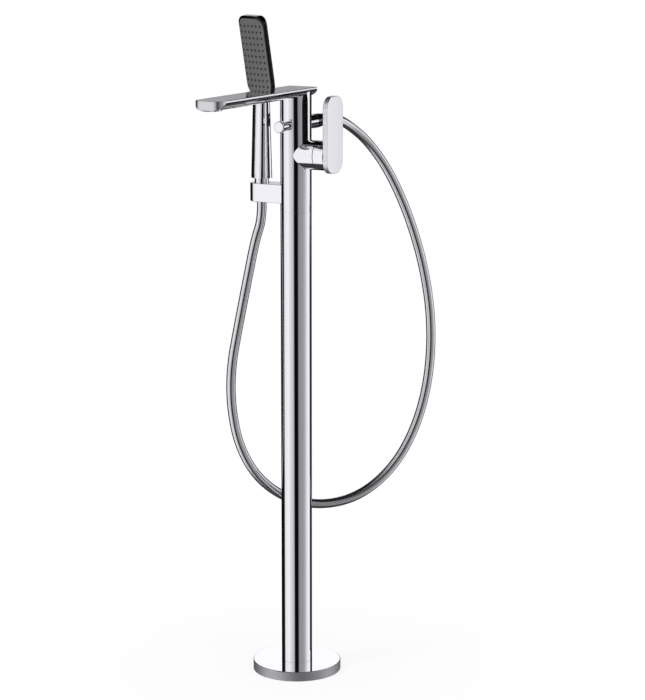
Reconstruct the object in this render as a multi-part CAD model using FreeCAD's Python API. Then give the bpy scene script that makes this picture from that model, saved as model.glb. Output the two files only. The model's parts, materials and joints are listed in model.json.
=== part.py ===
import FreeCAD, Part
import math
import os

# Floor standing bath filler, in millimetres.
# Origin: on the column's axis, at floor level. +Z is up, the spout points along -Y,
# the lever is on the +X side, the hand shower on the -X side and the hose outlet on +Y.

V = FreeCAD.Vector
X_AXIS = V(1, 0, 0)
Y_AXIS = V(0, 1, 0)
Z_AXIS = V(0, 0, 1)

# ---------------------------------------------------------------- clearances
FIXED_GAP = 0.1          # between fixed pieces that slide together at assembly
RUNNING_GAP = 0.08       # radial, between a shaft and its bore
MOVING_GAP = 0.4         # between moving pieces that never touch
SCREW_GAP = 0.1          # round a screw in its hole

# ---------------------------------------------------------------- column and base
COLUMN_D = 50.0
COLUMN_WALL = 2.0
SEAM_Z = 763.0           # joint between the column tube and the mixer body
SEAM_CHAMFER = 0.4

BASE_D = 144.0
BASE_H = 15.7
BASE_WALL = 2.0
BASE_EDGE_R = 1.2

FLANGE_D = 126.0
FLANGE_T = 6.0
SPIGOT_H = 60.0
SPIGOT_WALL = 2.5
FLOOR_HOLE_PCD = 96.0
FLOOR_HOLE_R = 4.2
FLOOR_HOLES = 4
SEAL_RING_T = 2.0
SEAL_RING_W = 3.0

SET_SCREW_R = 2.5
SET_SCREWS = 3
SET_SCREW_Z = 9.3

# ---------------------------------------------------------------- water supply in the column
SUPPLY_Y = 9.9           # hot at -Y, cold at +Y
INLET_R = 8.33           # G3/8 thread
INLET_DEPTH = 14.0
MANIFOLD_H = 40.0
WATERWAY_R = 4.0
CHECK_VALVE_R = 6.5
CHECK_VALVE_L = 16.0
SUPPLY_HOSE_R = 6.0
SUPPLY_NUT_AF = 17.0
SUPPLY_NUT_H = 12.0

# ---------------------------------------------------------------- mixer body
SLEEVE_WALL = 3.4
SLEEVE_DOWN = 25.0       # below the seam
SLEEVE_UP = 14.5         # above the seam
NUT_ROOM_R = 20.0
NUT_ROOM_TOP_Z = 800.0
SLEEVE_SCREW_OFFSET = 8.0

# ---------------------------------------------------------------- spout
SPOUT_TOP_Z = 959.5
SPOUT_T = 16.0
SPOUT_W = 51.0
SPOUT_REACH = 270.0      # column axis to the tip
SPOUT_BACK = 25.0        # column axis to the back end
SPOUT_SIDE_H = 3.0       # upright part of the side, above the curved belly
SPOUT_EDGE_R = 1.0
SPOUT_NOSE_R = 15.0      # corners of the tip, seen from above
SPOUT_BACK_R = 2.0       # corners of the back end
SPOUT_CHANNEL_W = 22.0
SPOUT_CHANNEL_H = 7.0
AERATOR_Y = -246.0
AERATOR_R = 11.0
AERATOR_WALL = 1.6
AERATOR_H = 7.0
AERATOR_PROUD = 0.8
AERATOR_HOLE_R = 0.9
NIPPLE_R = 7.0
NIPPLE_WALL = 2.0
NIPPLE_Y = -13.0
NIPPLE_SINK = 8.0
STUD_R = 3.0
STUD_Y = 14.0

# ---------------------------------------------------------------- cartridge and lever
CARTRIDGE_Z = 854.0
HOUSING_R = 23.5
SEAT_X = 6.0
CARTRIDGE_R = 17.5
CARTRIDGE_L = 26.0
CARTRIDGE_WALL = 1.8
CARTRIDGE_BASE_T = 2.4
CARTRIDGE_TOP_T = 3.5
CERAMIC_T = 3.0
MOVING_DISC_R = 10.6
CARRIER_R = 11.0
CARRIER_RIM_T = 3.6
NUT_L = 7.0
NUT_R = 19.8
PIVOT_X = 25.0           # where the lever tilts
DOME_R = 28.8            # sphere round the pivot that the lever hub glides over
DOME_MOUTH_R = 15.0
HUB_END_X = 61.8
STEM_R = 4.0
STEM_BALL_R = 3.0
STEM_BALL_ARM = 8.2
STEM_END_X = 59.8
PIN_R = 1.5
NECK_R = 19.0
NECK_L = 1.0
PLATE_T = 8.0
PLATE_W = 52.0
PLATE_H = 121.5
PLATE_DROP = 27.0        # lower end, below the hub's axis
PLATE_CORNER_R = 20.0
PLATE_EDGE_R = 0.6
PLATE_SCREW_Y = 12.0
PLATE_SCREW_R = 2.0
PLATE_SCREW_HEAD_R = 3.6
PLATE_SCREW_HEAD_T = 2.4
PLATE_SCREW_BITE = 4.5
GRUB_R = 2.5
GRUB_X = 57.4
GRUB_L = 9.0
LEVER_TILT_MAX = 20.0    # degrees, used only for the slot that the stem swings in

# ---------------------------------------------------------------- diverter
DIVERTER_Z = 901.0
CHAMBER_R = 7.0
CHAMBER_BACK_Y = 9.0
BUSH_R = 8.0
BUSH_END_Y = -46.4
SPINDLE_R = 3.0
PLUNGER_T = 3.0
PLUNGER_Y = -2.0
KNOB_R = 9.2
KNOB_T = 8.0
KNOB_GAP = 0.6
KNOB_EDGE_R = 1.8
BUSH_THREAD_L = 9.0

# ---------------------------------------------------------------- hose outlet at the back
OUTLET_R = 11.0
OUTLET_END_Y = 56.7
OUTLET_SPIGOT_R = 8.0
OUTLET_SPIGOT_L = 10.0
OUTLET_BORE_R = 5.0
OUTLET_THREAD_L = 11.0
OUTLET_VALVE_L = 14.0

# ---------------------------------------------------------------- hose and its nuts
HOSE_D = 15.5
HOSE_BORE_R = 4.5
HOSE_RIBS = 200
HOSE_RIB_DEPTH = 0.45
NUT_BIG_R = 11.4
NUT_SMALL_R = 8.8
NUT_WALL = 1.1
HOSE_NUT_L = 39.0
FERRULE_R = 7.4
FERRULE_L = 26.0
WASHER_T = 2.0
NUT_JOINT_GAP = 0.3

# ---------------------------------------------------------------- bracket
HANDSET_X = -63.0
BRACKET_Z = 775.5
BRACKET_H = 29.5
BRACKET_R = 18.5
BRACKET_EDGE_R = 1.0
LINER_T = 1.0
CONE_GAP = 0.3
BRACKET_SCREW_Y = 9.0
BRACKET_SCREW_Z = 789.5
BRACKET_SCREW_R = 2.5
BRACKET_SCREW_L = 12.0
BRACKET_SCREW_HEAD_R = 4.2
BRACKET_SCREW_HEAD_T = 3.0

# ---------------------------------------------------------------- handset
HANDSET_BOTTOM_Z = 812.5
HANDSET_YAW = -21.5      # degrees, how far the spray face turns from -Y towards -X
HANDLE_LENGTH = 127.5    # up to the bend
HANDLE_STATIONS = (0.0, 0.1, 0.25, 0.4, 0.55, 0.7, 0.82, 0.91, 0.97)
HEAD_LENGTH = 133.0      # from the bend to the top
HEAD_LEAN = 9.4          # degrees forward
HEAD_SET_BACK = 3.5      # of the head's middle behind the handle's axis
HEAD_SQUARENESS = 3.6
HANDLE_SQUARENESS = 2.6    # 2 is an ellipse
# along the head from the bend, share of the full width, share of the lean
HEAD_STATIONS = (
    (3.0, 0.10, 0.3), (9.0, 0.55, 0.7), (16.0, 0.95, 1.0), (26.0, 1.0, 1.0), (44.0, 1.0, 1.0),
    (70.0, 1.0, 1.0), (100.0, 1.0, 1.0), (130.0, 1.0, 1.0), (160.0, 1.0, 1.0),
)
HEAD_W = 66.0
HEAD_FRONT = 6.5
HEAD_BACK = 5.5
HEAD_TOP_R = 19.0
HEAD_TOP_START = 12.0    # degrees, where the top corner's arc leaves the side
HEAD_TOP_REACH = 0.5     # how far outside the side the arc starts
HEAD_EDGE_R = 1.2
HANDLE_FOOT_W = 33.0
HANDLE_FOOT_D = 30.0
HANDLE_NECK_W = 28.8
HANDLE_NECK_D = 22.4
FACE_RIM = 2.8
FACE_T = 1.5
FACE_CORNER_R = 16.0
FACE_TOP_GAP = 4.0
FACE_START = 6.0         # above the bend
MAT_T = 1.2
NOZZLE_R = 1.5
NOZZLE_PROUD = 0.8
NOZZLE_PITCH_U = 9.6
NOZZLE_PITCH_S = 9.7
NOZZLE_COLUMNS = 6
NOZZLE_ROWS = 12
NOZZLE_TOP_GAP = 16.0
CHAMBER_DEPTH = 2.6
CHAMBER_INSET = 5.0
INSERT_R = 10.2
INSERT_UP = 18.0
HANDSET_BORE_R = 5.0
HEAD_CHANNEL_R = 3.0

# ---------------------------------------------------------------- worked out from the above
COLUMN_R = COLUMN_D / 2
COLUMN_BORE_R = COLUMN_R - COLUMN_WALL
SPIGOT_R = COLUMN_BORE_R - FIXED_GAP
SPIGOT_BORE_R = SPIGOT_R - SPIGOT_WALL
MANIFOLD_R = SPIGOT_BORE_R - FIXED_GAP
SLEEVE_R = COLUMN_BORE_R - FIXED_GAP
SPOUT_BOTTOM_Z = SPOUT_TOP_Z - SPOUT_T
BODY_TOP_Z = SPOUT_TOP_Z - SPOUT_SIDE_H
CARTRIDGE_TOP_X = SEAT_X + CARTRIDGE_L
NUT_END_X = CARTRIDGE_TOP_X + NUT_L
HOUSING_END_X = PIVOT_X + math.sqrt(DOME_R ** 2 - HOUSING_R ** 2)
HUB_SPHERE_R = DOME_R + MOVING_GAP
HUB_START_X = PIVOT_X + math.sqrt(HUB_SPHERE_R ** 2 - HOUSING_R ** 2)
PLATE_X = HUB_END_X + NECK_L
OUTLET_NUT_Y = OUTLET_END_Y + NUT_JOINT_GAP
HOSE_START_Y = OUTLET_NUT_Y + HOSE_NUT_L
CONE_NUT_TOP_Z = HANDSET_BOTTOM_Z - NUT_JOINT_GAP
HOSE_END_Z = CONE_NUT_TOP_Z - HOSE_NUT_L
HOSE_R = HOSE_D / 2
SPOUT_CHANNEL_Z = SPOUT_BOTTOM_Z + (SPOUT_T - SPOUT_CHANNEL_H) / 2


# ================================================================ helpers
def cylinder(radius, length, start, axis=Z_AXIS):
    return Part.makeCylinder(radius, length, start, axis)


def ring(outer, inner, length, start, axis=Z_AXIS):
    return cylinder(outer, length, start, axis).cut(cylinder(inner, length, start, axis))


def cone(radius_start, radius_end, length, start, axis=Z_AXIS):
    return Part.makeCone(radius_start, radius_end, length, start, axis)


def hexagon(across_flats, height, centre):
    corner = across_flats / math.sqrt(3)
    points = []
    for i in range(7):
        angle = math.radians(60 * i)
        points.append(centre + V(corner * math.cos(angle), corner * math.sin(angle), 0))
    return Part.Face(Part.makePolygon(points)).extrude(V(0, 0, height))


def revolve_x(profile, z):
    """Solid of revolution about the X direction at height z, from (x, radius) points."""
    points = [V(x, 0, z + radius) for x, radius in profile]
    face = Part.Face(Part.makePolygon(points + [points[0]]))
    return face.revolve(V(0, 0, z), X_AXIS, 360)


def sphere(radius, centre):
    return Part.makeSphere(radius, centre)


def box(low, high):
    return Part.makeBox(high[0] - low[0], high[1] - low[1], high[2] - low[2], V(*low))


def round_box(low, high, corner_r, axis):
    """A box whose four edges along one axis are rounded."""
    solid = box(low, high)
    edges = []
    for edge in solid.Edges:
        direction = edge.Vertexes[1].Point.sub(edge.Vertexes[0].Point).normalize()
        if abs(direction.dot(axis)) > 0.99:
            edges.append(edge)
    return solid.makeFillet(corner_r, edges)


def edges_at(solid, axis, value):
    """The edges that lie wholly at one coordinate (axis 0, 1 or 2)."""
    found = []
    for edge in solid.Edges:
        bounds = edge.BoundBox
        low = (bounds.XMin, bounds.YMin, bounds.ZMin)[axis]
        high = (bounds.XMax, bounds.YMax, bounds.ZMax)[axis]
        if abs(low - value) < 1e-4 and abs(high - value) < 1e-4:
            found.append(edge)
    return found


def around(count, pitch_r, z, first_angle=45.0):
    points = []
    for i in range(count):
        angle = math.radians(first_angle + 360.0 * i / count)
        points.append(V(pitch_r * math.cos(angle), pitch_r * math.sin(angle), z))
    return points


def write(node, shape):
    for solid in shape.Solids:
        if not solid.isValid() or solid.Volume <= 0:
            print("NOT VALID", node)
    shape.exportStep("parts/" + node + ".step")
    print("%-24s solids %2d  volume %9.1f" % (node, len(shape.Solids), shape.Volume))


# ================================================================ base
def set_screw_directions():
    return [point.normalize() for point in around(SET_SCREWS, 1.0, 0.0, 90.0)]


def set_screw_holes(radius):
    holes = [cylinder(radius, COLUMN_R + 1, V(0, 0, SET_SCREW_Z), d) for d in set_screw_directions()]
    return Part.makeCompound(holes)


def make_base():
    cover = cylinder(BASE_D / 2, BASE_H, V(0, 0, 0))
    cover = cover.makeFillet(BASE_EDGE_R, edges_at(cover, 2, BASE_H))
    cover = cover.cut(cylinder(BASE_D / 2 - BASE_WALL, BASE_H - BASE_WALL, V(0, 0, 0)))
    cover = cover.cut(cylinder(COLUMN_R + 3 * FIXED_GAP, BASE_H, V(0, 0, 0)))
    write("base_cover", cover)

    seal_z = BASE_H - BASE_WALL - SEAL_RING_T
    seal_r = COLUMN_R + FIXED_GAP
    write("base_seal_ring", ring(seal_r + SEAL_RING_W, seal_r, SEAL_RING_T, V(0, 0, seal_z)))

    flange = ring(FLANGE_D / 2, SPIGOT_R, FLANGE_T, V(0, 0, 0))
    for centre in around(FLOOR_HOLES, FLOOR_HOLE_PCD / 2, 0.0):
        flange = flange.cut(cylinder(FLOOR_HOLE_R, FLANGE_T, centre))
    write("floor_flange", flange)

    spigot = ring(SPIGOT_R, SPIGOT_BORE_R, SPIGOT_H, V(0, 0, 0))
    write("flange_spigot", spigot.cut(set_screw_holes(SET_SCREW_R + SCREW_GAP)))

    screw_start = MANIFOLD_R + FIXED_GAP
    screws = []
    for direction in set_screw_directions():
        start = direction * screw_start + V(0, 0, SET_SCREW_Z)
        screws.append(cylinder(SET_SCREW_R, COLUMN_R - screw_start, start, direction))
    write("column_set_screws", Part.makeCompound(screws))


def supply_points(z):
    return [V(0, -SUPPLY_Y, z), V(0, SUPPLY_Y, z)]


def make_supply():
    manifold = cylinder(MANIFOLD_R, MANIFOLD_H, V(0, 0, 0))
    for point in supply_points(0):
        manifold = manifold.cut(cylinder(INLET_R, INLET_DEPTH, point))
        manifold = manifold.cut(cylinder(WATERWAY_R, MANIFOLD_H, point))
        valve_room = CHECK_VALVE_L + INLET_DEPTH
        manifold = manifold.cut(cylinder(CHECK_VALVE_R + FIXED_GAP, valve_room, point))
    write("inlet_manifold", manifold)

    valves = []
    for point in supply_points(INLET_DEPTH):
        valves.append(ring(CHECK_VALVE_R, CHECK_VALVE_R / 2, CHECK_VALVE_L, point))
    write("inlet_check_valves", Part.makeCompound(valves))

    hose_start = MANIFOLD_H + SUPPLY_NUT_H
    hose_end = NUT_ROOM_TOP_Z - SUPPLY_NUT_H
    for name, point in zip(("hot_supply_hose", "cold_supply_hose"), supply_points(hose_start)):
        write(name, ring(SUPPLY_HOSE_R, WATERWAY_R, hose_end - hose_start, point))

    nuts = []
    for z in (MANIFOLD_H, hose_end):
        for point in supply_points(z):
            nut = hexagon(SUPPLY_NUT_AF, SUPPLY_NUT_H, point)
            nuts.append(nut.cut(cylinder(WATERWAY_R, SUPPLY_NUT_H, point)))
    write("supply_nuts", Part.makeCompound(nuts))


# ================================================================ column
def sleeve_screw_points():
    return [V(0, 0, SEAM_Z - SLEEVE_SCREW_OFFSET), V(0, 0, SEAM_Z + SLEEVE_SCREW_OFFSET)]


def sleeve_screw_holes(radius):
    return Part.makeCompound([cylinder(radius, COLUMN_R + 1, p, Y_AXIS) for p in sleeve_screw_points()])


def make_column():
    tube = ring(COLUMN_R, COLUMN_BORE_R, SEAM_Z - FLANGE_T, V(0, 0, FLANGE_T))
    outer_top = [e for e in edges_at(tube, 2, SEAM_Z) if e.BoundBox.XMax > COLUMN_R - 0.01]
    tube = tube.makeChamfer(SEAM_CHAMFER, outer_top)
    tube = tube.cut(set_screw_holes(SET_SCREW_R + SCREW_GAP))
    tube = tube.cut(sleeve_screw_holes(SET_SCREW_R + SCREW_GAP))
    write("column_tube", tube)

    sleeve_length = SLEEVE_DOWN + SLEEVE_UP
    sleeve = ring(SLEEVE_R, SLEEVE_R - SLEEVE_WALL, sleeve_length, V(0, 0, SEAM_Z - SLEEVE_DOWN))
    sleeve = sleeve.cut(sleeve_screw_holes(SET_SCREW_R + SCREW_GAP))
    write("joining_sleeve", sleeve)

    screw_start = SLEEVE_R - SLEEVE_WALL
    screws = []
    for point in sleeve_screw_points():
        start = point + V(0, screw_start, 0)
        screws.append(cylinder(SET_SCREW_R, COLUMN_R - screw_start, start, Y_AXIS))
    write("sleeve_screws", Part.makeCompound(screws))


# ================================================================ spout
def spout_plan():
    """The spout's outline from above, as a tall prism with rounded corners."""
    low = (-SPOUT_W / 2, -SPOUT_REACH, SPOUT_BOTTOM_Z)
    high = (SPOUT_W / 2, SPOUT_BACK, SPOUT_TOP_Z)
    prism = box(low, high)
    upright = [edge for edge in prism.Edges if edge.BoundBox.ZLength > SPOUT_T / 2]
    front = [edge for edge in upright if edge.BoundBox.YMax < 0]
    prism = prism.makeFillet(SPOUT_NOSE_R, front)
    upright = [edge for edge in prism.Edges if edge.BoundBox.ZLength > SPOUT_T / 2]
    back = [edge for edge in upright if edge.BoundBox.YMin > SPOUT_BACK - 0.1]
    return prism.makeFillet(SPOUT_BACK_R, back)


def spout_outside():
    """A flat top, short upright sides and a belly that is half an ellipse."""
    half_w = SPOUT_W / 2
    side_z = SPOUT_TOP_Z - SPOUT_SIDE_H
    y = SPOUT_BACK
    belly = Part.Ellipse(V(half_w, y, side_z), V(0, y, SPOUT_BOTTOM_Z), V(0, y, side_z))
    start = belly.parameter(V(half_w, y, side_z))
    end = belly.parameter(V(-half_w, y, side_z))
    if belly.value((start + end) / 2).z > side_z:
        start, end = end, start + 2 * math.pi
    edges = [
        belly.toShape(start, end),
        Part.makeLine(V(-half_w, y, side_z), V(-half_w, y, SPOUT_TOP_Z)),
        Part.makeLine(V(-half_w, y, SPOUT_TOP_Z), V(half_w, y, SPOUT_TOP_Z)),
        Part.makeLine(V(half_w, y, SPOUT_TOP_Z), V(half_w, y, side_z)),
    ]
    profile = Part.Face(Part.Wire(Part.sortEdges(edges)[0]))
    solid = profile.extrude(V(0, -SPOUT_REACH - SPOUT_BACK, 0))
    solid = solid.common(spout_plan())
    return solid.makeFillet(SPOUT_EDGE_R, edges_at(solid, 2, SPOUT_TOP_Z))


def make_spout(outside):
    shell = outside.copy()
    half_w = SPOUT_CHANNEL_W / 2
    channel_front = AERATOR_Y - AERATOR_R + AERATOR_WALL
    channel_back = NIPPLE_Y + NIPPLE_R
    channel_top = SPOUT_CHANNEL_Z + SPOUT_CHANNEL_H
    shell = shell.cut(box((-half_w, channel_front, SPOUT_CHANNEL_Z), (half_w, channel_back, channel_top)))
    aerator_z = SPOUT_BOTTOM_Z - AERATOR_PROUD
    shell = shell.cut(cylinder(AERATOR_R + FIXED_GAP, AERATOR_H, V(0, AERATOR_Y, aerator_z)))
    shell = shell.cut(cylinder(NIPPLE_R + FIXED_GAP, NIPPLE_SINK, V(0, NIPPLE_Y, SPOUT_BOTTOM_Z)))
    shell = shell.cut(cylinder(STUD_R + SCREW_GAP, NIPPLE_SINK, V(0, STUD_Y, SPOUT_BOTTOM_Z)))
    write("spout", shell)

    nipple_start = V(0, NIPPLE_Y, SPOUT_BOTTOM_Z - NIPPLE_SINK)
    write("spout_nipple", ring(NIPPLE_R, NIPPLE_R - NIPPLE_WALL, 2 * NIPPLE_SINK, nipple_start))
    write("spout_stud", cylinder(STUD_R, 2 * NIPPLE_SINK, V(0, STUD_Y, SPOUT_BOTTOM_Z - NIPPLE_SINK)))

    housing = ring(AERATOR_R, AERATOR_R - AERATOR_WALL, AERATOR_H, V(0, AERATOR_Y, aerator_z))
    write("aerator_housing", housing)
    insert_r = AERATOR_R - AERATOR_WALL - FIXED_GAP
    insert = cylinder(insert_r, AERATOR_H - AERATOR_PROUD, V(0, AERATOR_Y, SPOUT_BOTTOM_Z))
    for count, pitch_r in ((1, 0.0), (6, insert_r * 0.36), (12, insert_r * 0.74)):
        for point in around(count, pitch_r, SPOUT_BOTTOM_Z, 0.0):
            insert = insert.cut(cylinder(AERATOR_HOLE_R, AERATOR_H, point + V(0, AERATOR_Y, 0)))
    write("aerator_insert", insert)


# ================================================================ mixer body
def bracket_screw_points():
    wall_x = -math.sqrt(NUT_ROOM_R ** 2 - BRACKET_SCREW_Y ** 2)
    return [V(wall_x, y, BRACKET_SCREW_Z) for y in (-BRACKET_SCREW_Y, BRACKET_SCREW_Y)]


def bracket_screw_holes():
    holes = []
    for point in bracket_screw_points():
        hole = cylinder(BRACKET_SCREW_R + SCREW_GAP, BRACKET_SCREW_L, point, V(-1, 0, 0))
        head_length = BRACKET_SCREW_HEAD_T + 2
        head_start = point + V(head_length, 0, 0)
        head = cylinder(BRACKET_SCREW_HEAD_R + SCREW_GAP, head_length, head_start, V(-1, 0, 0))
        holes.append(hole.fuse(head))
    return Part.makeCompound(holes)


def make_mixer_body(spout_solid):
    body = cylinder(COLUMN_R, BODY_TOP_Z - SEAM_Z, V(0, 0, SEAM_Z))
    body = body.makeChamfer(SEAM_CHAMFER, edges_at(body, 2, SEAM_Z))
    body = body.fuse(cylinder(HOUSING_R, HOUSING_END_X, V(0, 0, CARTRIDGE_Z), X_AXIS))
    body = body.cut(spout_solid)

    body = body.cut(cylinder(COLUMN_BORE_R, SLEEVE_UP + FIXED_GAP, V(0, 0, SEAM_Z)))
    body = body.cut(cylinder(NUT_ROOM_R, NUT_ROOM_TOP_Z - SEAM_Z, V(0, 0, SEAM_Z)))
    for point in supply_points(NUT_ROOM_TOP_Z):
        body = body.cut(cylinder(WATERWAY_R, CARTRIDGE_Z - NUT_ROOM_TOP_Z, point))
        port = V(point.x, point.y, CARTRIDGE_Z)
        body = body.cut(cylinder(WATERWAY_R - 0.5, SEAT_X, port, X_AXIS))

    seat = V(SEAT_X, 0, CARTRIDGE_Z)
    body = body.cut(cylinder(CARTRIDGE_R + FIXED_GAP, HOUSING_END_X, seat, X_AXIS))
    thread_start = V(CARTRIDGE_TOP_X, 0, CARTRIDGE_Z)
    body = body.cut(cylinder(NUT_R + FIXED_GAP, HOUSING_END_X, thread_start, X_AXIS))

    mixed_x = -CHAMBER_R - 1
    mixed_z = CARTRIDGE_Z + SUPPLY_Y
    body = body.cut(cylinder(WATERWAY_R - 0.5, SEAT_X - mixed_x, V(mixed_x, 0, mixed_z), X_AXIS))
    body = body.cut(cylinder(WATERWAY_R, DIVERTER_Z - mixed_z, V(mixed_x, 0, mixed_z)))

    chamber_length = CHAMBER_BACK_Y + COLUMN_R
    body = body.cut(cylinder(CHAMBER_R, chamber_length, V(0, -COLUMN_R, DIVERTER_Z), Y_AXIS))
    body = body.cut(cylinder(OUTLET_BORE_R, COLUMN_R, V(0, 0, DIVERTER_Z), Y_AXIS))
    spigot_y = COLUMN_R - OUTLET_SPIGOT_L
    body = body.cut(cylinder(OUTLET_SPIGOT_R + FIXED_GAP, COLUMN_R, V(0, spigot_y, DIVERTER_Z), Y_AXIS))
    rise = SPOUT_TOP_Z - DIVERTER_Z
    body = body.cut(cylinder(NIPPLE_R - NIPPLE_WALL, rise, V(0, NIPPLE_Y, DIVERTER_Z)))
    body = body.cut(cylinder(NIPPLE_R + FIXED_GAP, SPOUT_T, V(0, NIPPLE_Y, SPOUT_BOTTOM_Z - NIPPLE_SINK)))
    body = body.cut(cylinder(STUD_R + SCREW_GAP, SPOUT_T, V(0, STUD_Y, SPOUT_BOTTOM_Z - NIPPLE_SINK)))
    body = body.cut(sleeve_screw_holes(SET_SCREW_R + SCREW_GAP))
    body = body.cut(bracket_screw_holes())
    write("mixer_body", body)


# ================================================================ cartridge
def make_cartridge():
    z = CARTRIDGE_Z
    seal = ring(CARTRIDGE_R - 0.5, CARTRIDGE_R - 4, 1.0, V(SEAT_X, 0, z), X_AXIS)
    write("cartridge_seal", seal)

    base_x = SEAT_X + 1.0
    cavity_x = base_x + CARTRIDGE_BASE_T
    cavity_r = CARTRIDGE_R - CARTRIDGE_WALL
    collar_x = CARTRIDGE_TOP_X - CARTRIDGE_TOP_T
    shell = cylinder(CARTRIDGE_R, CARTRIDGE_TOP_X - base_x, V(base_x, 0, z), X_AXIS)
    shell = shell.cut(cylinder(cavity_r, collar_x - cavity_x, V(cavity_x, 0, z), X_AXIS))
    shell = shell.cut(cylinder(CARRIER_R + RUNNING_GAP, CARTRIDGE_TOP_T, V(collar_x, 0, z), X_AXIS))
    ports = [V(base_x, -SUPPLY_Y, z), V(base_x, SUPPLY_Y, z), V(base_x, 0, z + SUPPLY_Y)]
    port_r = WATERWAY_R - 0.5
    fixed_disc = cylinder(cavity_r - FIXED_GAP, CERAMIC_T, V(cavity_x, 0, z), X_AXIS)
    for port in ports:
        shell = shell.cut(cylinder(port_r, CARTRIDGE_BASE_T, port, X_AXIS))
        fixed_disc = fixed_disc.cut(cylinder(port_r, CARTRIDGE_L, port, X_AXIS))
    write("cartridge_body", shell)
    write("fixed_ceramic_disc", fixed_disc)

    disc_x = cavity_x + CERAMIC_T + RUNNING_GAP
    ball_x = PIVOT_X - STEM_BALL_ARM
    moving = cylinder(MOVING_DISC_R, CERAMIC_T, V(disc_x, 0, z), X_AXIS)
    moving = moving.cut(cylinder(STEM_BALL_R + 0.3, CERAMIC_T, V(disc_x + 1, 0, z), X_AXIS))
    write("moving_ceramic_disc", moving)

    rim_x = collar_x - RUNNING_GAP - CARRIER_RIM_T
    carrier = cylinder(CARRIER_R, CARTRIDGE_TOP_X - rim_x, V(rim_x, 0, z), X_AXIS)
    carrier = carrier.fuse(cylinder(cavity_r - MOVING_GAP, CARRIER_RIM_T, V(rim_x, 0, z), X_AXIS))
    skirt_x = disc_x + CERAMIC_T + MOVING_GAP
    carrier = carrier.fuse(cylinder(CARRIER_R - 1, rim_x - skirt_x, V(skirt_x, 0, z), X_AXIS))
    slot_y = STEM_R + MOVING_GAP
    swing = math.sin(math.radians(LEVER_TILT_MAX))
    slot_up = STEM_R + MOVING_GAP + STEM_BALL_ARM * swing
    slot_down = STEM_R + MOVING_GAP + (CARTRIDGE_TOP_X - PIVOT_X) * swing
    slot_low = (skirt_x - 1, -slot_y, z - slot_down)
    slot_high = (CARTRIDGE_TOP_X + 1, slot_y, z + slot_up)
    carrier = carrier.cut(box(slot_low, slot_high))
    pin_length = 2 * (CARRIER_R - 2)
    pin_start = V(PIVOT_X, -pin_length / 2, z)
    carrier = carrier.cut(cylinder(PIN_R, pin_length, pin_start, Y_AXIS))
    write("cartridge_carrier", carrier)
    write("cartridge_pin", cylinder(PIN_R, pin_length, pin_start, Y_AXIS))

    stem = cylinder(STEM_R, STEM_END_X - PIVOT_X + 6, V(PIVOT_X - 6, 0, z), X_AXIS)
    stem = stem.fuse(cylinder(STEM_BALL_R * 0.6, STEM_BALL_ARM, V(ball_x, 0, z), X_AXIS))
    stem = stem.fuse(sphere(STEM_BALL_R, V(ball_x, 0, z)))
    stem = stem.cut(cylinder(PIN_R + RUNNING_GAP, pin_length, pin_start, Y_AXIS))
    write("lever_stem", stem)

    nut = cylinder(NUT_R, NUT_L, V(CARTRIDGE_TOP_X, 0, z), X_AXIS)
    nut = nut.cut(cylinder(CARRIER_R + 1.5, NUT_L, V(CARTRIDGE_TOP_X, 0, z), X_AXIS))
    write("cartridge_nut", nut)

    dome = sphere(DOME_R, V(PIVOT_X, 0, z))
    seat_r = NUT_R
    dome_room = cylinder(seat_r, HOUSING_END_X - NUT_END_X, V(NUT_END_X, 0, z), X_AXIS)
    cap = cylinder(HOUSING_R, DOME_R, V(HOUSING_END_X, 0, z), X_AXIS).common(dome)
    dome = cap.fuse(dome_room)
    mouth_length = PIVOT_X + DOME_R - NUT_END_X
    dome = dome.cut(cone(CARRIER_R + 1.5, DOME_MOUTH_R, mouth_length, V(NUT_END_X, 0, z), X_AXIS))
    write("dome_ring", dome)


# ================================================================ lever
def plate_screw_points(x):
    return [V(x, y, CARTRIDGE_Z) for y in (-PLATE_SCREW_Y, PLATE_SCREW_Y)]


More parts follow.
